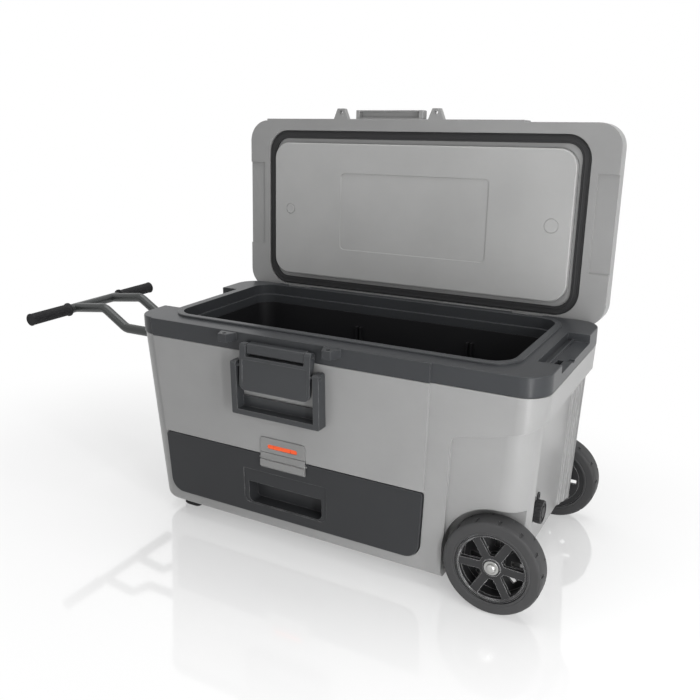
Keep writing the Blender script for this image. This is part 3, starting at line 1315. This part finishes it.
def plug_outline(grow):
    """Outline of the raised inner panel, which enters the mouth when the lid is shut."""
    side = LINER_PLUG_SIDE_GAP - grow
    back = LINER_PLUG_BACK_GAP - grow
    return rounded_rectangle(MOUTH_LEFT + side, MOUTH_RIGHT - side, MOUTH_FRONT + side,
                             MOUTH_BACK - back, MOUTH_CORNER - side)


def build_gasket(parent):
    """Soft gasket in the recess round the inner panel, where it meets the collar's lip."""
    low = COLLAR_TOP + LIP_HEIGHT + SEAT_GAP * 2
    high = LID_BOTTOM + GASKET_GROOVE - SEAT_GAP
    gasket = plate("XY", low, high, gasket_outline(SEAT_GAP))
    hole = plate("XY", low - OVERRUN, high + OVERRUN, gasket_outline(GASKET_WIDTH))
    cut(gasket, hole)
    return finish(gasket, "lid_gasket", RUBBER_BLACK, parent)


def lid_centre():
    """Place across the lid of the line through its plaque and its two plugs."""
    return HINGE_Y - LID_CENTRE_SETBACK


def build_lid_liner(parent):
    """Raised inner panel of the lid with a bare recessed plaque and seats for two plugs."""
    low = LID_BOTTOM - LINER_PLUG_DEPTH
    high = LID_BOTTOM + LID_UNDERSIDE - SEAT_GAP
    liner = plate("XY", low, high, plug_outline(0.0))
    rounded(liner, LINER_PLUG_EDGE / 2)
    hollow = plate("XY", low + LINER_PLUG_WALL, high + OVERRUN, plug_outline(-LINER_PLUG_WALL))
    centre = lid_centre()
    plaque = plate("XY", low - OVERRUN, low + PLAQUE_DEPTH, rounded_rectangle(
        -PLAQUE_HALF_LENGTH, PLAQUE_HALF_LENGTH, centre - PLAQUE_WIDTH / 2,
        centre + PLAQUE_WIDTH / 2, PLAQUE_CORNER))
    cut(liner, hollow, plaque)
    for place, radius in ((-PLUG_PLACE, SMALL_PLUG_RADIUS), (PLUG_PLACE, LARGE_PLUG_RADIUS)):
        cut(liner, rod("Z", (place, centre, 0.0), radius, low - OVERRUN, low + PLUG_HEIGHT))
    return finish(liner, "lid_liner", LIGHT_GREY, parent)


def build_plug(place, radius, name, parent):
    """Fill plug in the lid's inner panel."""
    low = LID_BOTTOM - LINER_PLUG_DEPTH
    plug = rod("Z", (place, lid_centre(), 0.0), radius - SEAT_GAP, low - PLUG_HEIGHT / 2,
               low + PLUG_HEIGHT - SEAT_GAP)
    return finish(plug, name, LIGHT_GREY, parent)


# Lid hinges

def build_hinge_base(centre, name):
    """Fixed half of a hinge: a plate in the collar's pocket with two cheeks and the pin's bores."""
    floor = HINGE_Z - HINGE_POCKET_DEPTH + SEAT_GAP
    front = HINGE_Y - HINGE_POCKET_REACH + SEAT_GAP
    base = box(centre - HINGE_HALF, centre + HINGE_HALF, front, COLLAR_HALF_DEPTH, floor,
               floor + HINGE_PLATE)
    for side in (-1.0, 1.0):
        inner = centre + side * (HINGE_KNUCKLE_HALF + SEAT_GAP)
        outer = centre + side * HINGE_HALF
        profile = arc((HINGE_Y, HINGE_Z), HINGE_CHEEK_RADIUS, 0.0, 180.0, 8)
        profile += [(front + SEAT_GAP, floor + SEAT_GAP), (HINGE_Y + HINGE_CHEEK_RADIUS, floor + SEAT_GAP)]
        join(base, plate("YZ", min(inner, outer), max(inner, outer), profile))
    bore = rod("X", (0.0, HINGE_Y, HINGE_Z), HINGE_PIN_RADIUS + SEAT_GAP,
               centre - HINGE_HALF - OVERRUN, centre + HINGE_HALF + OVERRUN, ROUND_STEPS // 2)
    return finish(cut(base, bore), name, DARK_GREY)


def build_hinge_pin(centre, name):
    """Steel pin of a lid hinge."""
    pin = rod("X", (0.0, HINGE_Y, HINGE_Z), HINGE_PIN_RADIUS, centre - HINGE_HALF,
              centre + HINGE_HALF, ROUND_STEPS // 2)
    return finish(pin, name, STEEL)


def build_hinge_leaf(centre, name, parent):
    """Moving half of a hinge: a knuckle on the pin and an arm to the lid's underside."""
    radius = HINGE_KNUCKLE_RADIUS
    profile = arc((HINGE_Y, HINGE_Z), radius, 180.0, 360.0, 8)
    top = LID_BOTTOM - SEAT_GAP
    profile += [(HINGE_Y + radius, top), (HINGE_Y - radius, top)]
    leaf = plate("YZ", centre - HINGE_KNUCKLE_HALF, centre + HINGE_KNUCKLE_HALF, profile)
    bore = rod("X", (0.0, HINGE_Y, HINGE_Z), HINGE_PIN_RADIUS + SEAT_GAP,
               centre - HINGE_HALF, centre + HINGE_HALF, ROUND_STEPS // 2)
    return finish(cut(leaf, bore), name, DARK_GREY, parent)


# Wheels

def wheel_profile(points, side):
    """Turn a profile of radius and distance from the outer face into places along the axle."""
    placed = [(radius, WHEEL_OUTER_Y - inset) for radius, inset in points]
    return placed if side > 0 else [(radius, -height) for radius, height in reversed(placed)]


def build_tyre(side, name, parent):
    """Solid tyre with square tread blocks."""
    edge = TYRE_EDGE
    tyre = turned("Y", (AXLE_X, 0.0, AXLE_Z), wheel_profile([
        (TYRE_BORE, 0.0), (TYRE_SHOULDER_RADIUS - edge, 0.0), (TYRE_SHOULDER_RADIUS, edge / 2),
        (TYRE_RADIUS, edge * 2), (TYRE_RADIUS, TYRE_WIDTH - edge * 2),
        (TYRE_SHOULDER_RADIUS, TYRE_WIDTH - edge / 2), (TYRE_SHOULDER_RADIUS - edge, TYRE_WIDTH),
        (TYRE_BORE, TYRE_WIDTH),
    ], side), WHEEL_STEPS)
    grooves = None
    middle = side * (WHEEL_OUTER_Y - TYRE_WIDTH / 2)
    for index in range(TREAD_COUNT):
        angle = math.tau * (index + 0.5) / TREAD_COUNT
        for end in (-1.0, 1.0):
            turn = angle + end * math.pi / TREAD_COUNT / 2
            start = middle + end * TYRE_WIDTH / 6
            stop = middle + end * (TYRE_WIDTH / 2 + OVERRUN)
            groove = box(-TREAD_GROOVE / 2, TREAD_GROOVE / 2, min(start, stop), max(start, stop),
                         TYRE_RADIUS - TREAD_DEPTH, TYRE_RADIUS + OVERRUN)
            groove.data.transform(Matrix.Translation((AXLE_X, 0.0, AXLE_Z)) @ Matrix.Rotation(turn, 4, "Y"))
            grooves = groove if grooves is None else join(grooves, groove)
    cut(tyre, grooves)
    return finish(tyre, name, TYRE_BLACK, parent)


def build_wheel(side, name, parent):
    """Moulded wheel: rim, hub, six spokes outside and a slotted disc inside."""
    depth = TYRE_WIDTH
    rim_inner = RIM_RADIUS - RIM_WALL
    wheel = turned("Y", (AXLE_X, 0.0, AXLE_Z), wheel_profile([
        (HUB_BORE, HUB_INSET), (HUB_RADIUS, HUB_INSET), (HUB_RADIUS, SPOKE_INSET + RIM_INSET),
        (rim_inner, SPOKE_INSET), (rim_inner, RIM_INSET), (RIM_RADIUS, RIM_INSET),
        (RIM_RADIUS, depth - RIM_INSET), (HUB_BORE, depth - RIM_INSET),
    ], side), WHEEL_STEPS)
    hollow_low = SPOKE_INSET + SPOKE_DEPTH
    hollow_high = depth - RIM_INSET - BACK_DISC
    hollow = turned("Y", (AXLE_X, 0.0, AXLE_Z), wheel_profile([
        (HUB_RADIUS, hollow_low), (rim_inner, hollow_low),
        (rim_inner, hollow_high), (HUB_RADIUS, hollow_high),
    ], side), WHEEL_STEPS)
    outer_low = side * (WHEEL_OUTER_Y + OVERRUN)
    outer_high = side * (WHEEL_OUTER_Y - hollow_low - RUN_GAP)
    windows = None
    step = math.tau / SPOKE_COUNT
    near = HUB_RADIUS + SPOKE_FILLET
    far = rim_inner - RUN_GAP * 2
    for index in range(SPOKE_COUNT):
        middle = step * (index + 0.5)
        near_half = step / 2 - math.asin(SPOKE_WIDTH / 2 / near)
        far_half = step / 2 - math.asin(SPOKE_WIDTH / 2 / far)
        outline = arc((AXLE_X, AXLE_Z), far, math.degrees(middle - far_half),
                      math.degrees(middle + far_half), 6)
        outline += arc((AXLE_X, AXLE_Z), near, math.degrees(middle + near_half),
                       math.degrees(middle - near_half), 2)
        window = plate("XZ", min(outer_low, outer_high), max(outer_low, outer_high), outline)
        windows = window if windows is None else join(windows, window)
    back_low = side * (WHEEL_OUTER_Y - hollow_high + RUN_GAP)
    back_high = side * (WHEEL_OUTER_Y - depth - OVERRUN)
    for index in range(BACK_SLOT_COUNT):
        slot = box(BACK_SLOT_START, BACK_SLOT_START + BACK_SLOT_LENGTH, min(back_low, back_high),
                   max(back_low, back_high), -BACK_SLOT_WIDTH / 2, BACK_SLOT_WIDTH / 2)
        turn = math.tau * index / BACK_SLOT_COUNT
        slot.data.transform(Matrix.Translation((AXLE_X, 0.0, AXLE_Z)) @ Matrix.Rotation(turn, 4, "Y"))
        join(windows, slot)
    cut(wheel, hollow, windows)
    return finish(wheel, name, WHEEL_BLACK, parent)


def build_bush(side, name, parent):
    """Bush pressed in the wheel's bore, running on the axle."""
    bush = turned("Y", (AXLE_X, 0.0, AXLE_Z), wheel_profile([
        (AXLE_RADIUS + SEAT_GAP, HUB_INSET + SEAT_GAP), (HUB_BORE - SEAT_GAP, HUB_INSET + SEAT_GAP),
        (HUB_BORE - SEAT_GAP, TYRE_WIDTH - RIM_INSET), (AXLE_RADIUS + SEAT_GAP, TYRE_WIDTH - RIM_INSET),
    ], side))
    return finish(bush, name, STEEL, parent)


def build_washer(side, name):
    """Washer between the hub and the axle's cap."""
    low = WHEEL_OUTER_Y - HUB_INSET + SEAT_GAP
    near = side * low
    far = side * (low + WASHER_THICKNESS)
    washer = rod("Y", (AXLE_X, 0.0, AXLE_Z), WASHER_RADIUS, min(near, far), max(near, far))
    bore = rod("Y", (AXLE_X, 0.0, AXLE_Z), AXLE_RADIUS + SEAT_GAP, min(near, far) - OVERRUN,
               max(near, far) + OVERRUN)
    return finish(cut(washer, bore), name, STEEL)


def build_axle():
    """Steel axle through the tunnel, with a domed cap at each end."""
    low = WHEEL_OUTER_Y - HUB_INSET + SEAT_GAP * 2 + WASHER_THICKNESS
    tip = low + CAP_HEIGHT
    half = [(AXLE_RADIUS, low), (CAP_RADIUS, low), (CAP_RADIUS, low + CAP_HEIGHT / 2),
            (CAP_RADIUS / 2, tip - CAP_HEIGHT / 6), (0.0, tip)]
    profile = [(radius, height) for radius, height in reversed(half)]
    profile += [(radius, -height) for radius, height in half]
    return finish(turned("Y", (AXLE_X, 0.0, AXLE_Z), profile), "wheel_axle", STEEL)


def build_clamp(side, name):
    """Strap under the tunnel that holds the axle up."""
    centre = side * (BODY_HALF_DEPTH - ARCH_DEPTH) / 2
    low = AXLE_Z - AXLE_RADIUS - SEAT_GAP - CLAMP_THICKNESS
    half = TUNNEL_HALF - SEAT_GAP
    saddle = box(AXLE_X - half, AXLE_X + half, centre - CLAMP_LENGTH / 2, centre + CLAMP_LENGTH / 2,
                 low, AXLE_Z + half)
    bore = rod("Y", (AXLE_X, 0.0, AXLE_Z), AXLE_RADIUS + SEAT_GAP, centre - CLAMP_LENGTH,
               centre + CLAMP_LENGTH)
    return finish(cut(saddle, bore), name, DARK_GREY)


# Pull handle

def bend_points(before, corner, after, radius, steps):
    """Return points of a round bend in a tube at a corner."""
    first = (Vector(before) - Vector(corner)).normalized()
    second = (Vector(after) - Vector(corner)).normalized()
    half = first.angle(second) / 2
    reach = radius / math.tan(half)
    middle = Vector(corner) + (first + second).normalized() * radius / math.sin(half)
    start = Vector(corner) + first * reach - middle
    end = Vector(corner) + second * reach - middle
    axis = start.cross(end)
    sweep = start.angle(end)
    turns = [Matrix.Rotation(sweep * step / steps, 3, axis) for step in range(steps + 1)]
    return [tuple(middle + turn @ start) for turn in turns]


def build_handle(parent):
    """Bent tube handle: two cranked arms and a crossbar."""
    frame = tube([(HANDLE_BAR_X, -HANDLE_BAR_HALF, HANDLE_BAR_Z),
                  (HANDLE_BAR_X, HANDLE_BAR_HALF, HANDLE_BAR_Z)], HANDLE_TUBE_RADIUS)
    for side in (-1.0, 1.0):
        along = side * HANDLE_ARM_Y
        start = (HANDLE_PIVOT_X, along, HANDLE_PIVOT_Z)
        low = (HANDLE_BEND_LOW_X, along, HANDLE_PIVOT_Z)
        high = (HANDLE_BEND_HIGH_X, along, HANDLE_BEND_HIGH_Z)
        end = (HANDLE_BAR_X, along, HANDLE_BAR_Z)
        points = [start]
        points += bend_points(start, low, high, HANDLE_BEND_RADIUS, 4)
        points += bend_points(low, high, end, HANDLE_BEND_RADIUS, 4)
        points.append(end)
        join(frame, tube(points, HANDLE_TUBE_RADIUS))
        cheek = BRACKET_CHEEK_RADIUS
        half = HANDLE_TUBE_RADIUS + SEAT_GAP
        eye = rod("Y", (HANDLE_PIVOT_X, 0.0, HANDLE_PIVOT_Z), cheek - RUN_GAP * 3,
                  along - half, along + half)
        join(frame, eye)
        bore = rod("Y", (HANDLE_PIVOT_X, 0.0, HANDLE_PIVOT_Z), BRACKET_PIN_RADIUS + SEAT_GAP,
                   along - HANDLE_TUBE_RADIUS * 2, along + HANDLE_TUBE_RADIUS * 2, ROUND_STEPS // 2)
        cut(frame, bore)
    return finish(frame, "handle_frame", TUBE_GREY, parent)


def build_grip(side, name, parent):
    """Soft grip on one end of the crossbar, with a flange at its inner end."""
    bore = HANDLE_TUBE_RADIUS + SEAT_GAP
    stop = HANDLE_BAR_HALF + SEAT_GAP
    profile = [
        (bore, GRIP_START), (GRIP_FLANGE_RADIUS, GRIP_START),
        (GRIP_FLANGE_RADIUS, GRIP_START + GRIP_FLANGE_WIDTH),
        (GRIP_RADIUS, GRIP_START + GRIP_FLANGE_WIDTH * GRIP_FLANGE_SLOPE_SHARE),
        (GRIP_RADIUS, GRIP_END - GRIP_FLANGE_WIDTH / 2), (GRIP_RADIUS * GRIP_NOSE_SHARE, GRIP_END),
        (0.0, GRIP_END), (0.0, stop), (bore, stop),
    ]
    if side < 0:
        profile = [(radius, -height) for radius, height in profile]
    grip = turned("Y", (HANDLE_BAR_X, 0.0, HANDLE_BAR_Z), profile)
    return finish(grip, name, RUBBER_BLACK, parent)


def build_bracket(side, name):
    """Clevis on the end wall that carries one arm of the handle."""
    along = side * HANDLE_ARM_Y
    low = HANDLE_PIVOT_Z - BRACKET_HALF_HEIGHT
    high = HANDLE_PIVOT_Z + BRACKET_HALF_HEIGHT
    back_low = body_left(low) - SEAT_GAP
    back_high = body_left(high) - SEAT_GAP
    bracket = plate("XZ", along - BRACKET_HALF_WIDTH, along + BRACKET_HALF_WIDTH, [
        (back_low, low), (back_high, high), (back_high - BRACKET_PLATE, high),
        (back_low - BRACKET_PLATE, low),
    ])
    inner = HANDLE_TUBE_RADIUS + BRACKET_CHEEK_GAP
    outer = inner + BRACKET_CHEEK
    reach = BRACKET_CHEEK_RADIUS
    profile = arc((HANDLE_PIVOT_X, HANDLE_PIVOT_Z), reach, 90.0, 270.0, 10)
    root = body_left(HANDLE_PIVOT_Z) - BRACKET_PLATE / 2
    profile += [(root, HANDLE_PIVOT_Z - reach), (root, HANDLE_PIVOT_Z + reach)]
    for turn in (-1.0, 1.0):
        near = along + turn * inner
        far = along + turn * outer
        join(bracket, plate("XZ", min(near, far), max(near, far), profile))
    bore = rod("Y", (HANDLE_PIVOT_X, 0.0, HANDLE_PIVOT_Z), BRACKET_PIN_RADIUS + SEAT_GAP,
               along - outer * 2, along + outer * 2, ROUND_STEPS // 2)
    return finish(cut(bracket, bore), name, DARK_GREY)


def build_bracket_pin(side, name):
    """Pin through a bracket and the eye of the handle's arm."""
    along = side * HANDLE_ARM_Y
    reach = HANDLE_TUBE_RADIUS + BRACKET_CHEEK_GAP + BRACKET_CHEEK + BRACKET_PIN_HEAD
    pin = rod("Y", (HANDLE_PIVOT_X, 0.0, HANDLE_PIVOT_Z), BRACKET_PIN_RADIUS, along - reach,
              along + reach, ROUND_STEPS // 2)
    return finish(pin, name, STEEL)


# Feet and drain

def build_foot(side, name):
    """Rubber foot under the handle end."""
    centre = side * FOOT_Y
    sections = []
    for height, shrink in ((0.0, FOOT_EDGE), (FOOT_EDGE, 0.0), (BODY_BOTTOM - SEAT_GAP, 0.0)):
        sections.append(at_height(rounded_rectangle(
            FOOT_X - FOOT_LENGTH / 2 + shrink, FOOT_X + FOOT_LENGTH / 2 - shrink,
            centre - FOOT_WIDTH / 2 + shrink, centre + FOOT_WIDTH / 2 - shrink,
            FOOT_EDGE * 3 - shrink, 3), height))
    return finish(loft(sections), name, RUBBER_BLACK)


def build_drain_spout():
    """Drain spout through the end wall, from the sump to its open neck."""
    start = SUMP_RIGHT + LINER_WALL + SEAT_GAP
    wall = DRAIN_SEAT_X
    spout = turned("X", (0.0, DRAIN_Y, DRAIN_Z), [
        (DRAIN_BORE, wall + DRAIN_NECK_LENGTH), (DRAIN_NECK, wall + DRAIN_NECK_LENGTH),
        (DRAIN_NECK, wall + DRAIN_FLANGE_THICKNESS), (DRAIN_FLANGE, wall + DRAIN_FLANGE_THICKNESS),
        (DRAIN_FLANGE, wall), (DRAIN_NECK, wall), (DRAIN_NECK, start), (DRAIN_BORE, start),
    ])
    return finish(spout, "drain_spout", DARK_GREY)


DRAIN_CAP_LOW = DRAIN_SEAT_X + DRAIN_FLANGE_THICKNESS + RUN_GAP
DRAIN_GROOVE_RADIUS = DRAIN_NECK + RUN_GAP + DRAIN_RING_WALL


def build_drain_cap(parent):
    """Ribbed screw cap over the drain's neck, with a groove for its ring."""
    low = DRAIN_CAP_LOW
    neck_end = DRAIN_SEAT_X + DRAIN_NECK_LENGTH
    high = neck_end + DRAIN_CAP_END
    bore = DRAIN_NECK + RUN_GAP
    rim = low + DRAIN_CAP_LIP + DRAIN_RING_HEIGHT + RUN_GAP * 2
    cap = turned("X", (0.0, DRAIN_Y, DRAIN_Z), [
        (0.0, high), (DRAIN_CAP_RADIUS - RUN_GAP * 2, high), (DRAIN_CAP_RADIUS, high - RUN_GAP * 2),
        (DRAIN_CAP_RADIUS, rim), (DRAIN_GROOVE_RADIUS, rim), (DRAIN_GROOVE_RADIUS, low + DRAIN_CAP_LIP),
        (DRAIN_GROOVE_RADIUS + DRAIN_RING_CATCH, low + DRAIN_CAP_LIP),
        (DRAIN_GROOVE_RADIUS + DRAIN_RING_CATCH, low), (bore, low), (bore, neck_end + RUN_GAP),
        (0.0, neck_end + RUN_GAP),
    ], DRAIN_CAP_RIBS * 4)
    flutes = None
    for index in range(DRAIN_CAP_RIBS):
        angle = math.tau * index / DRAIN_CAP_RIBS
        place = (0.0, DRAIN_Y + DRAIN_CAP_RADIUS * math.cos(angle),
                 DRAIN_Z + DRAIN_CAP_RADIUS * math.sin(angle))
        flute = rod("X", place, DRAIN_CAP_RIB_DEPTH, rim + DRAIN_CAP_RIB_DEPTH, high + OVERRUN, 6)
        flutes = flute if flutes is None else join(flutes, flute)
    cut(cap, flutes)
    return finish(cap, "drain_cap", RUBBER_BLACK, parent)


def build_drain_ring(parent):
    """Soft ring in the cap's groove, which travels with the cap without turning, and its loop."""
    low = DRAIN_CAP_LOW + DRAIN_CAP_LIP + RUN_GAP
    high = low + DRAIN_RING_HEIGHT
    hole = DRAIN_GROOVE_RADIUS + RUN_GAP
    ring = rod("X", (0.0, DRAIN_Y, DRAIN_Z), hole + DRAIN_RING_WALL * 2, low, high, ROUND_STEPS * 2)
    angle = math.radians(DRAIN_LOOP_DEGREES)
    eye = (0.0, DRAIN_Y + DRAIN_LOOP_REACH * math.cos(angle), DRAIN_Z + DRAIN_LOOP_REACH * math.sin(angle))
    join(ring, rod("X", eye, DRAIN_LOOP_RADIUS, low, high))
    cut(ring, rod("X", (0.0, DRAIN_Y, DRAIN_Z), hole, low - OVERRUN, high + OVERRUN, ROUND_STEPS * 2),
        rod("X", eye, DRAIN_LOOP_HOLE, low - OVERRUN, high + OVERRUN, ROUND_STEPS // 2))
    return finish(ring, "drain_ring", RUBBER_BLACK, parent)


# Whole cooler

def build_cooler():
    """Build every piece, body by body, and open the lid to its stop."""
    build_body_shell()
    build_collar()
    build_liner()
    build_housing()
    build_rail(-1.0, "drawer_rail_left")
    build_rail(1.0, "drawer_rail_right")
    build_lock_plate()
    build_indicator()
    build_latch_base()
    build_latch_pin()
    build_axle()
    for side, name in ((-1.0, "front"), (1.0, "rear")):
        build_bracket(side, "handle_bracket_" + name)
        build_bracket_pin(side, "handle_pin_" + name)
        build_foot(side, "foot_" + name)
        build_clamp(side, "axle_clamp_" + name)
        build_washer(side, "wheel_washer_" + name)
        wheel_axis = joint_empty("axis_wheel_" + name, (AXLE_X, side * WHEEL_OUTER_Y, AXLE_Z))
        build_wheel(side, "wheel_" + name, wheel_axis)
        build_tyre(side, "tyre_" + name, wheel_axis)
        build_bush(side, "wheel_bush_" + name, wheel_axis)
    build_drain_spout()
    ring_axis = joint_empty("axis_drain_ring", (DRAIN_SEAT_X, DRAIN_Y, DRAIN_Z))
    build_drain_ring(ring_axis)
    cap_axis = joint_empty("axis_drain_cap", (DRAIN_SEAT_X, DRAIN_Y, DRAIN_Z), ring_axis)
    build_drain_cap(cap_axis)

    drawer_axis = joint_empty("axis_drawer", (FRONT_CENTRE, FRONT_FACE, RAIL_CENTRE))
    build_drawer_front(drawer_axis)
    build_drawer_tray(drawer_axis)
    build_runner(-1.0, "drawer_runner_left", drawer_axis)
    build_runner(1.0, "drawer_runner_right", drawer_axis)
    paddle_axis = joint_empty("axis_paddle", (FRONT_CENTRE, FRONT_FACE, PADDLE_PIVOT_Z), drawer_axis)
    build_paddle(paddle_axis)

    flap_axis = joint_empty("axis_latch_flap", (FRONT_CENTRE, LATCH_Y, LATCH_PIVOT_Z))
    build_flap(flap_axis)
    frame_axis = joint_empty("axis_latch_frame", (FRONT_CENTRE, FRAME_Y, FRAME_PIVOT_Z), flap_axis)
    build_frame(frame_axis)

    handle_axis = joint_empty("axis_handle", (HANDLE_PIVOT_X, 0.0, HANDLE_PIVOT_Z))
    build_handle(handle_axis)
    build_grip(-1.0, "grip_front", handle_axis)
    build_grip(1.0, "grip_rear", handle_axis)

    lid_axis = joint_empty("axis_lid", (0.0, HINGE_Y, HINGE_Z))
    build_lid_shell(lid_axis)
    build_lid_liner(lid_axis)
    build_gasket(lid_axis)
    build_plug(-PLUG_PLACE, SMALL_PLUG_RADIUS, "lid_plug_small", lid_axis)
    build_plug(PLUG_PLACE, LARGE_PLUG_RADIUS, "lid_plug_large", lid_axis)
    for centre, name in zip(HINGE_PLACES, ("left", "right")):
        build_hinge_base(centre, "hinge_base_" + name)
        build_hinge_pin(centre, "hinge_pin_" + name)
        build_hinge_leaf(centre, "hinge_leaf_" + name, lid_axis)
    lid_axis.rotation_euler.x = math.radians(-LID_OPEN_DEGREES)


def recentre():
    """Move the cooler so that its origin is the bottom centre of its bounds."""
    bpy.context.view_layer.update()
    graph = bpy.context.evaluated_depsgraph_get()
    corners = []
    for obj in PARTS.objects:
        if obj.type == "MESH":
            solid = obj.evaluated_get(graph)
            corners += [solid.matrix_world @ Vector(corner) for corner in solid.bound_box]
    low = Vector([min(corner[axis] for corner in corners) for axis in range(3)])
    high = Vector([max(corner[axis] for corner in corners) for axis in range(3)])
    offset = Vector(((low.x + high.x) / 2, (low.y + high.y) / 2, low.z))
    for obj in list(PARTS.objects) + list(CUTTERS.objects):
        if obj.parent is None:
            obj.location -= offset


build_cooler()
recentre()
